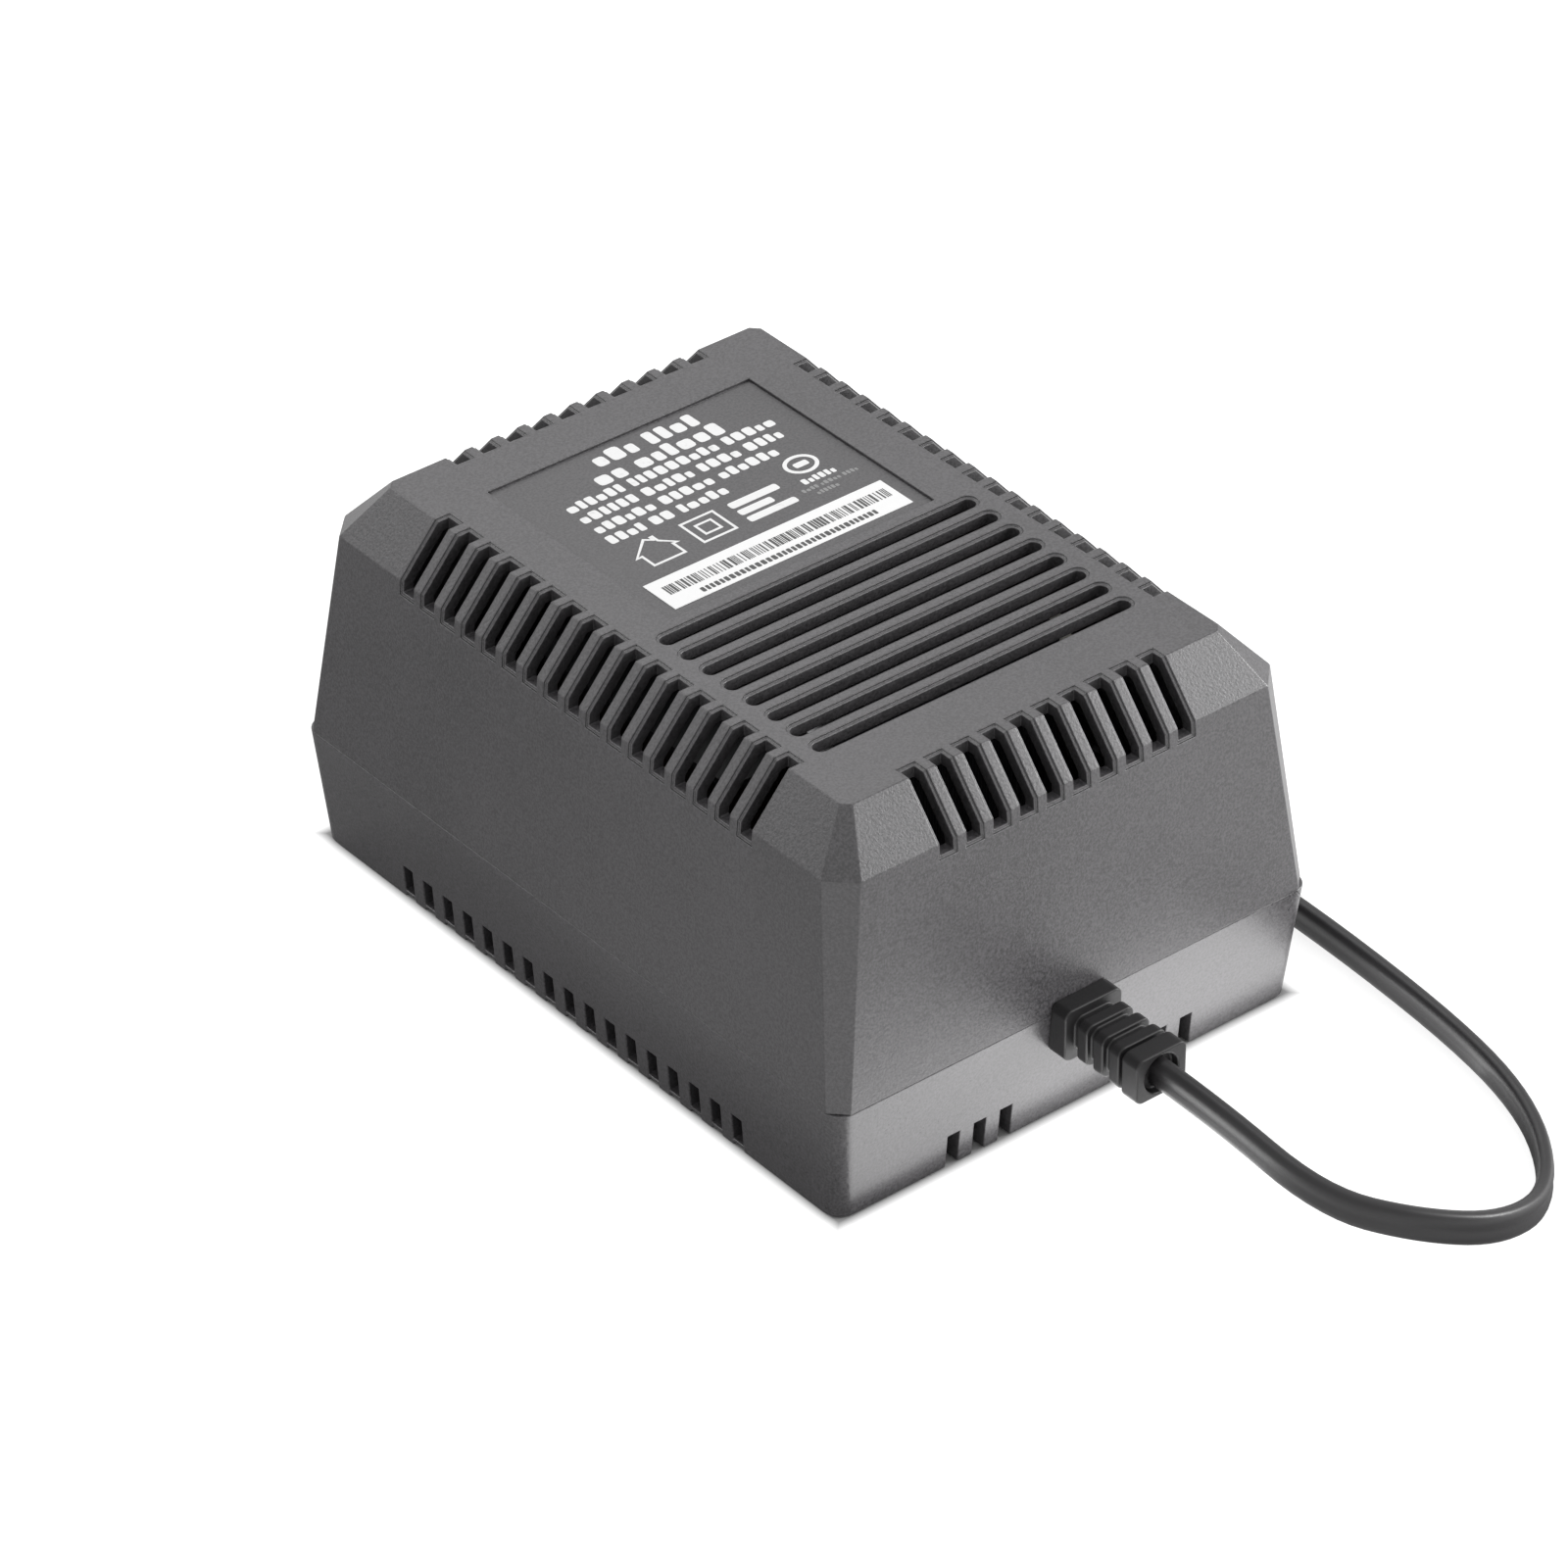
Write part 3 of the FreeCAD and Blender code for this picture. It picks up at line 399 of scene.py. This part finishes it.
upper_case = moulded("upper_housing", "upper_case", 0.16 * mm, case_plastic, "case_plastic")
base_case = moulded("base_housing", "base_case", 0.2 * mm, base_plastic, "case_plastic")
paint_shade_in_cuts(upper_case)
paint_shade_in_cuts(base_case)
moulded("strain_relief", "ribbed_relief", 0.3 * mm, relief_rubber, "cord_pvc", 3, 40)
moulded("rear_cord_gland", "rear_gland", 0.35 * mm, relief_rubber, "cord_pvc", 3, 40)
moulded("rating_label", "label_film", 0.04 * mm, label_plastic, "label_film")
moulded("serial_sticker", "bar_sticker", 0.03 * mm, sticker_stock, "sticker_paper")
for node, material in inside_finishes.items():
    coat(node, material)


# Print on the label: plain blocks in rows, plain outlines, and bars on the sticker

label_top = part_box("rating_label")[1].z
sticker_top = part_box("serial_sticker")[1].z
ink_depth = 0.03 * mm
draw = random.Random(7)


def plate(x0, x1, y0, y1, z, corner=0.25):
    """One thin block of ink with rounded corners, given in millimetres from the middle of the case."""
    width = (x1 - x0) * mm
    length = (y1 - y0) * mm
    centre = Vector(((x0 + x1) / 2 * mm, (y0 + y1) / 2 * mm, z + ink_depth / 2))
    bpy.ops.mesh.primitive_cube_add(size=1, location=centre)
    block = bpy.context.active_object
    block.scale = (width, length, ink_depth)
    bpy.ops.object.transform_apply(location=True, rotation=True, scale=True)
    if corner:
        bpy.ops.object.mode_set(mode="EDIT")
        bpy.ops.mesh.select_mode(type="EDGE")
        bpy.ops.mesh.select_all(action="DESELECT")
        bpy.ops.object.mode_set(mode="OBJECT")
        for edge in block.data.edges:
            a, b = (block.data.vertices[i].co for i in edge.vertices)
            edge.select = abs(a.z - b.z) > ink_depth / 2
        bpy.ops.object.mode_set(mode="EDIT")
        bpy.ops.mesh.bevel(offset=corner * min(width, length), segments=2, affect="EDGES")
        bpy.ops.object.mode_set(mode="OBJECT")
    return block


def block_group(x, y, height, count):
    """Blocks side by side; gives them and where the group ends."""
    blocks = []
    for _ in range(count):
        width = height * draw.choice((0.5, 0.62, 0.62, 0.75))
        tall = height * draw.choice((0.72, 1.0, 1.0))
        blocks.append(plate(x, x + width, y, y + tall, label_top))
        x += width + height * 0.2
    return blocks, x


def block_row(x, y, height, counts):
    """Groups of blocks with wider gaps between them, from a left end and a lower edge."""
    row = []
    for count in counts:
        blocks, x = block_group(x, y, height, count)
        row += blocks
        x += height * 0.45
    return row


def outline(corners, width):
    """A closed line of ink on the label through corner points, given in millimetres."""
    mesh = bpy.data.meshes.new("ink line")
    count = len(corners)
    area = sum(corners[i][0] * corners[(i + 1) % count][1] - corners[(i + 1) % count][0] * corners[i][1]
               for i in range(count))
    points = corners if area > 0 else corners[::-1]
    inner = []
    for i in range(count):
        before, here, after = (Vector(points[k % count]) for k in (i - 1, i, i + 1))
        first = (here - before).normalized()
        second = (after - here).normalized()
        normals = Vector((-first.y, first.x)) + Vector((-second.y, second.x))
        reach = width / max(0.3, (1 + first.dot(second)) / 2) ** 0.5
        inner.append(here + normals.normalized() * reach)
    ring = [(p[0] * mm, p[1] * mm, label_top + ink_depth) for p in points]
    ring += [(p.x * mm, p.y * mm, label_top + ink_depth) for p in inner]
    faces = [(i, (i + 1) % count, count + (i + 1) % count, count + i) for i in range(count)]
    mesh.from_pydata(ring, [], faces)
    line = add_piece("ink line", mesh)
    bpy.ops.object.mode_set(mode="EDIT")
    bpy.ops.mesh.select_all(action="SELECT")
    bpy.ops.mesh.extrude_region_move(TRANSFORM_OT_translate={"value": (0, 0, -ink_depth)})
    bpy.ops.mesh.select_all(action="SELECT")
    bpy.ops.mesh.normals_make_consistent(inside=False)
    bpy.ops.object.mode_set(mode="OBJECT")
    return line


def oval(x, y, half_width, half_length, count=28):
    return [(x + half_width * math.cos(2 * math.pi * i / count),
             y + half_length * math.sin(2 * math.pi * i / count)) for i in range(count)]


# Rows of blocks: left end, lower edge, height and how many blocks each group has
block_rows = (
    (-7.0, 35.2, 3.2, (3, 4)),
    (-9.8, 31.2, 3.2, (2, 6)),
    (-17.4, 28.3, 2.1, (6, 9, 5)),
    (-17.5, 25.1, 2.1, (6, 5, 4, 4)),
    (-17.5, 21.9, 2.1, (6, 5, 6)),
    (-17.7, 18.7, 2.1, (4, 2, 5)),
)
house = [(-16.7, 10.7), (-10.9, 10.7), (-10.9, 13.5), (-10.0, 13.5), (-12.1, 15.6), (-12.1, 17.0),
         (-12.9, 17.0), (-12.9, 16.4), (-13.8, 17.2), (-17.8, 13.5), (-16.7, 13.5)]
outer_square = [(-7.8, 10.9), (-1.7, 10.9), (-1.7, 16.8), (-7.8, 16.8)]
inner_square = [(-6.3, 12.4), (-3.2, 12.4), (-3.2, 15.3), (-6.3, 15.3)]
# Plain bars beside the squares, and one inside the ring: left, right, lower and upper edges
label_bars = (
    (0.6, 9.2, 15.1, 16.6),
    (0.6, 6.6, 13.0, 14.4),
    (0.6, 9.2, 10.9, 12.3),
    (14.0, 16.4, 17.5, 18.7),
)

ink = []
for row in block_rows:
    ink += block_row(*row)
ink.append(outline(house, 0.42))
ink.append(outline(outer_square, 0.42))
ink.append(outline(inner_square, 0.4))
ink.append(outline(oval(15.2, 18.1, 2.75, 2.35), 0.62))
for edges in label_bars:
    ink.append(plate(*edges, label_top))
ink += block_row(12.3, 13.5, 1.35, (6,))
dress(join("label_print", ink), white_ink, "label_film")

small_print = block_row(10.8, 11.9, 0.85, (4, 5, 4)) + block_row(12.2, 10.4, 0.85, (6,))
dress(join("label_small_print", small_print), grey_ink, "label_film")

bars = []
x = -19.3
while x < 20.0:
    width = draw.choice((0.14, 0.14, 0.26, 0.4))
    bars.append(plate(x, x + width, 3.7, 5.9, sticker_top, 0))
    x += width + draw.choice((0.16, 0.16, 0.3, 0.45))
x = -15.4
while x < 15.2:
    width = draw.choice((0.5, 0.62, 0.7))
    bars.append(plate(x, x + width, 1.4, 2.5, sticker_top))
    x += width + 0.28
dress(join("sticker_print", bars), bar_ink, "sticker_paper")


# The output lead: one smooth line from the strain relief to the plug, through the wound-up hank.
# Its points are in millimetres until the line is made.

relief_tip = -76.9
lead_height = 16.4
floor_height = 2.5
hank_x = 34.0
hank_y = 83.5
half_run = 18.5
lanes = (20.0, 17.0, 14.0, 11.0)
lane_step = 3.0
upper_height = 7.8
under_tie_rise = 0.5
tail_y = hank_y - 20
plug_x = 74.0
plug_axis = 5.25
# The line cuts its corners a little, so the points on a bend stand further out by this factor
spline_pull = 1.022

# Straight out of the relief, down to the floor in a bend and back along the right side of the case
lead_points = [
    (0, relief_tip + 1.4, lead_height), (0, relief_tip - 11.2, lead_height),
    (0, -108.9, lead_height - 2.4), (8.5, -118.3, 11.5), (20.8, -121.9, 6.9),
    (34.4, -117.2, floor_height), (44.8, -103.4, floor_height), (50.0, -82.9, floor_height),
    (52.5, -43.2, floor_height), (50.5, -15.0, floor_height),
    (52.5, 13.8, floor_height), (52.0, 37.8, floor_height), (57.5, 60.3, floor_height),
]


def cap(side, radius, z, start, end):
    """Points round one end of the hank, every 30 degrees, from one angle towards another."""
    points = []
    reach = radius * spline_pull
    for i in range(round((end - start) / 30) + 1):
        turn = math.radians(start + i * 30)
        points.append((hank_x + side * half_run + reach * math.cos(turn),
                       hank_y + reach * math.sin(turn), z))
    return points


def far_run(first, last, z):
    """Points on the far run, lifted a little where the tie goes under the bundle."""
    return [(hank_x + 9, hank_y + first * 0.7 + last * 0.3, z),
            (hank_x, hank_y + (first + last) / 2, z + under_tie_rise),
            (hank_x - 9, hank_y + first * 0.3 + last * 0.7, z)]


def near_run(first, last, z_first, z_last):
    """Points on the near run, going over from one lane and level to the next."""
    return [(hank_x - 9, hank_y - first * 0.75 - last * 0.25, z_first * 0.75 + z_last * 0.25),
            (hank_x + 9, hank_y - first * 0.25 - last * 0.75, z_first * 0.25 + z_last * 0.75)]


# The lower layer is wound inwards, and the upper layer outwards over it
for turn, radius in enumerate(lanes):
    innermost = radius == lanes[-1]
    inward = radius if innermost else lanes[turn + 1]
    lead_points += cap(1, radius, floor_height, -45 if turn == 0 else -90, 90)
    lead_points += far_run(radius, radius, floor_height)
    lead_points += cap(-1, radius, floor_height, 90, 270)
    lead_points += near_run(radius, inward, floor_height, upper_height if innermost else floor_height)
upper_lanes = lanes[:0:-1]
for radius in upper_lanes:
    outward = radius + lane_step
    lead_points += cap(1, radius, upper_height, -90, 90)
    lead_points += far_run(radius, outward, upper_height)
    lead_points += cap(-1, outward, upper_height, 90, 270)
    if radius != upper_lanes[-1]:
        lead_points += near_run(outward, outward, upper_height, upper_height)
# The tail leaves the hank and goes down to the plug
lead_points += [
    (hank_x - 2, tail_y, upper_height), (hank_x + 18, tail_y, upper_height),
    (hank_x + 29, tail_y, upper_height), (71.5, 58.5, upper_height),
    (plug_x, 48.5, plug_axis), (plug_x, 42.0, plug_axis),
]

curve = bpy.data.curves.new("lead line", "CURVE")
curve.dimensions = "3D"
curve.resolution_u = 7
spline = curve.splines.new("NURBS")
spline.points.add(len(lead_points) - 1)
for point, place in zip(spline.points, lead_points):
    point.co = (place[0] * mm, place[1] * mm, place[2] * mm, 1.0)
spline.order_u = 3
spline.use_endpoint_u = True
bare = bpy.data.objects.new("lead line", curve)
smooth_line = [v.co.copy() for v in bpy.data.meshes.new_from_object(bare).vertices]
lead_line = [smooth_line[0]]
for place in smooth_line[1:]:
    if (place - lead_line[-1]).length > 0.35 * mm:
        lead_line.append(place)


def twin_section(half_thick, half_wide, count=22):
    """Outline of a flat twin cord: two round cores with a shallow web between them."""
    web_depth = 0.3
    web_width = 0.35 * half_thick
    fullness = 0.62
    points = []
    for i in range(count):
        turn = 2 * math.pi * (i + 0.5) / count
        upright = math.sin(turn)
        pinch = 1 - web_depth * math.exp(-((upright * half_wide / web_width) ** 2) * 0.5)
        swell = abs(math.cos(turn)) ** fullness * math.copysign(1, math.cos(turn))
        points.append((swell * half_thick * pinch, upright * half_wide))
    return points


section = twin_section(1.3 * mm, 2.45 * mm)
verts = []
faces = []
around = len(section)
for i, place in enumerate(lead_line):
    ahead = lead_line[min(i + 1, len(lead_line) - 1)] - lead_line[max(i - 1, 0)]
    ahead.normalize()
    side = ahead.cross(Vector((0, 0, 1))).normalized()
    upright = side.cross(ahead).normalized()
    for across, tall in section:
        verts.append(place + side * across + upright * tall)
    if i:
        last = (i - 1) * around
        here = i * around
        for k in range(around):
            n = (k + 1) % around
            faces.append((last + k, last + n, here + n, here + k))
faces.append(tuple(range(around))[::-1])
faces.append(tuple(range(len(verts) - around, len(verts))))
cord_mesh = bpy.data.meshes.new("twin_lead")
cord_mesh.from_pydata(verts, [], faces)
twin_lead = add_piece("twin_lead", cord_mesh)
bpy.ops.object.mode_set(mode="EDIT")
bpy.ops.mesh.select_all(action="SELECT")
bpy.ops.mesh.normals_make_consistent(inside=False)
bpy.ops.object.mode_set(mode="OBJECT")
bpy.ops.object.shade_smooth_by_angle(angle=math.radians(50))
dress(twin_lead, lead_rubber, "cord_pvc", "output_cord", "cord_hank", "cord_tail")

plug_grip = moulded("plug_body", "plug_grip", 0.25 * mm, plug_rubber, "plug_pvc", 2, 40)
barrel_metal = plain_metal("plated barrel", (0.72, 0.71, 0.68), 0.22, "Y", 0.05)
coat("plug_barrel", barrel_metal)
coat("plug_contact", barrel_metal)
coat("plug_insulator", moulded_nylon("plug insulation", (0.02, 0.02, 0.02), 0.35))
tie_nylon = moulded_nylon("tie nylon", (0.02, 0.02, 0.02))
cord_tie = moulded("cord_tie", "lead_tie", 0.15 * mm, tie_nylon, "tie_plastic")


# Floor, backdrop and light

def pale_floor(name, tone, glow):
    """A pale floor that takes shadows and glows for the camera and in reflections.

    It doesn't glow under the case. Reflections lose the glow along the left of the case, most of all at
    its foot and towards the rear, and in a patch beside the strain relief; this loss is painted shade in
    the case's reflections.
    """
    case_half_width = 40.5 * mm
    case_half_length = 58.0 * mm
    patch_x = 26 * mm
    patch_y = -112 * mm
    patch_falloff = 1800
    foot_end = 58 * mm
    left_end = 300 * mm
    front_end = -85 * mm
    away_from_foot = 0.65

    made = Finish(name, Roughness=0.9)
    made.feed("Base Color", made.mixed(made.noise(4), grey(tone), grey(tone * 0.99)))
    x_place = made.along("X")
    back = made.along("Y")
    left = x_place * -1.0
    # Each limit is a soft edge, and what it multiplies by is one over the edge's width in metres
    # Painted shade in reflections: along the left of the case the glossy glow fades, as if the case's
    # shadow lay on the floor there.
    foot_or_rear = made.limit(made.limit(back * 12) + made.limit((foot_end - left) * 90))
    beside_left = (made.limit((back - front_end) * 40) * made.limit(left * 50)
                   * made.limit((left_end - left) * 10))
    left_shade = beside_left * (away_from_foot + foot_or_rear * (1 - away_from_foot))
    # Painted shade in reflections: the patch darkens what the front wall reflects, in place of the
    # reflected relief and lead and their shadow.
    from_x = x_place - patch_x
    from_y = back - patch_y
    patch = made.limit(1.5 - (from_x * from_x + from_y * from_y) * patch_falloff)
    shade = made.limit(left_shade + patch * 0.9)

    rays = made.node("ShaderNodeLightPath")
    seen = made.limit(made.field(rays, "Is Camera Ray") + made.field(rays, "Is Transmission Ray")
                      + made.field(rays, "Is Glossy Ray") * (1.0 - shade))
    past_case = made.math("MAXIMUM", made.math("ABSOLUTE", x_place) - case_half_width,
                          made.math("ABSOLUTE", back) - case_half_length)
    glow_colour = made.mixed(made.limit(past_case * 600), (0, 0, 0), (1, 1, 1))
    glowing = made.field(made.node("ShaderNodeEmission", None, {"Color": glow_colour, "Strength": glow}))
    plain = made.field(made.shader)
    both = made.field(made.node("ShaderNodeAddShader", None, {0: plain, 1: glowing}))
    made.send_out(made.either_shader(seen, plain, both), "Material Output")
    return made.material


bpy.ops.mesh.primitive_plane_add(size=12, location=(0, 0, -0.0002))
floor = bpy.context.active_object
floor.name = "floor"
floor.data.materials.append(pale_floor("floor", 0.45, 0.82))

# A white sky, a little brighter to the camera and in reflections than as a light
world = bpy.data.worlds.new("studio")
bpy.context.scene.world = world
world.use_nodes = True
sky = NodeMaker(world.node_tree)
lighting = sky.tree.nodes["Background"]
lighting.inputs["Color"].default_value = (1, 1, 1, 1)
lighting.inputs["Strength"].default_value = 0.62
shown = sky.node("ShaderNodeBackground", None, {"Strength": 1.0})
sky_rays = sky.node("ShaderNodeLightPath")
sky_seen = (sky.field(sky_rays, "Is Camera Ray") + sky.field(sky_rays, "Is Glossy Ray")
            + sky.field(sky_rays, "Is Transmission Ray"))
sky.send_out(sky.either_shader(sky_seen, sky.field(lighting), sky.field(shown)), "World Output")


def softbox(name, place, aim, size, power):
    """A rectangular lamp that shines from one place at another; its power is in watts."""
    lamp = bpy.data.lights.new(name, "AREA")
    lamp.shape = "RECTANGLE"
    lamp.size, lamp.size_y = size
    lamp.energy = power
    box = bpy.data.objects.new(name, lamp)
    bpy.context.scene.collection.objects.link(box)
    box.location = place
    box.rotation_euler = (Vector(aim) - Vector(place)).to_track_quat("-Z", "Y").to_euler()
    box.visible_camera = False


softbox("overhead", (0.22, 0.4, 0.7), (0, 0, 0.05), (0.4, 0.5), 1.0)
softbox("front right", (0.8, -0.45, 0.3), (0, -0.06, 0.03), (0.35, 0.3), 6.6)
softbox("front high", (0.55, -0.6, 0.6), (0, -0.05, 0.04), (0.3, 0.3), 0.9)
softbox("left rear", (-0.35, 0.7, 0.55), (0, 0, 0.05), (0.3, 0.3), 1.2)
softbox("table glow", (0.004, -0.0745, 0.0004), (0.004, -0.0745, 1.0), (0.084, 0.028), 0.0155)


# Camera at the photograph's angle

azimuth = math.radians(-38.891)
elevation = math.radians(35.204)
roll = math.radians(0.321)
distance = 1054.087
middle_across = -2.239
middle_upward = 17.951
back = Vector((math.sin(azimuth) * math.cos(elevation), -math.cos(azimuth) * math.cos(elevation),
               math.sin(elevation)))
right = Vector((math.cos(azimuth), math.sin(azimuth), 0))
up = back.cross(right)
across = right * math.cos(roll) - up * math.sin(roll)
upward = right * math.sin(roll) + up * math.cos(roll)
lens_data = bpy.data.cameras.new("camera")
lens_data.sensor_width = 36
lens_data.lens = 170.561
lens_data.clip_start = 0.05
lens_data.clip_end = 30
camera = bpy.data.objects.new("camera", lens_data)
bpy.context.scene.collection.objects.link(camera)
camera.location = (across * middle_across + upward * middle_upward + back * distance) * mm
camera.rotation_mode = "QUATERNION"
camera.rotation_quaternion = Matrix((across, upward, back)).transposed().to_quaternion()
bpy.context.scene.camera = camera
bpy.context.scene.view_settings.view_transform = "Standard"
